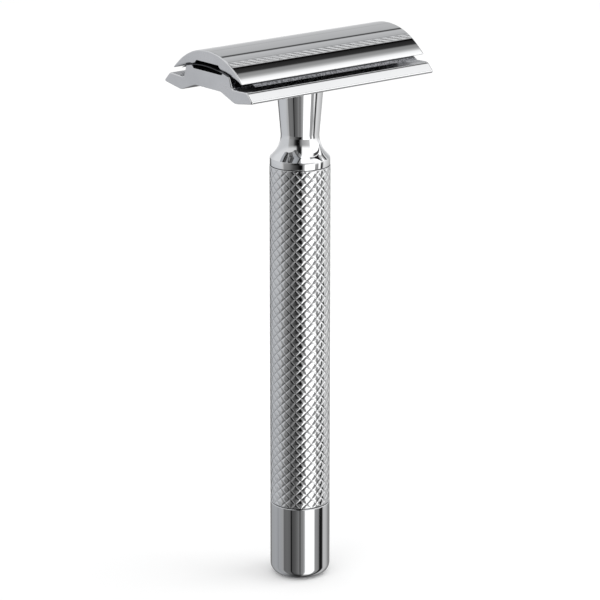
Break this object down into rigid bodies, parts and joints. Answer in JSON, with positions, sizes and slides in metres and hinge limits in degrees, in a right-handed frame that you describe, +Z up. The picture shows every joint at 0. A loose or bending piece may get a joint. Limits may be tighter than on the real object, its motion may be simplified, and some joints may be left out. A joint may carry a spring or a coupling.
{
  "type": "safety razor",
  "caption": "Double-edge safety razor with a knurled handle tube, a domed cap over a closed guard plate, and a twist knob that draws the cap down on the blade.",
  "frame": {"origin": "centre of the knob's flat underside, on the handle's axis", "axes": "+Z up the handle to the cap, +X along the head and the blade, +Y across the head"},
  "size_m": [0.043, 0.0252, 0.103],
  "materials": {
    "chrome": "polished",
    "knurled_chrome": "polished, knurled",
    "steel": "machined",
    "blade_steel": "ground",
    "brass": "machined",
    "nylon": "natural nylon",
    "rubber": "matt"
  },
  "bodies": {
    "handle": {"guard_plate": "chrome", "plate_nut": "brass", "neck": "chrome", "handle_tube": "knurled_chrome", "thrust_washer": "nylon", "disc_spring": "steel", "spindle_bush": "nylon", "foot_bush": "nylon"},
    "spindle": {"twist_knob": "chrome", "knob_plug": "chrome", "knob_screw": "steel", "draw_rod": "steel", "draw_nut": "brass", "nut_pin": "steel", "friction_ring": "rubber"},
    "cap": {"top_cap": "chrome", "cap_stud": "steel", "cap_post_left": "chrome", "cap_post_right": "chrome"},
    "blade": {"razor_blade": "blade_steel"}
  },
  "joints": [
    {"name": "knob_turn", "type": "hinge", "parent": "handle", "child": "spindle", "pos_m": [0, 0, 0.0072], "axis": [0, 0, -1], "range_deg": [0, 2520]},
    {"name": "cap_lift", "type": "slide", "parent": "handle", "child": "cap", "axis": [0, 0, 1], "range_m": [0, 0.00491]},
    {"name": "blade_lift", "type": "slide", "parent": "handle", "child": "blade", "axis": [0, 0, 1], "range_m": [0, 0.00246]}
  ],
  "couplings": [
    {"joint": "cap_lift", "follows": "knob_turn", "m_per_rad": 0.00011141},
    {"joint": "blade_lift", "follows": "knob_turn", "m_per_rad": 0.000055704}
  ]
}
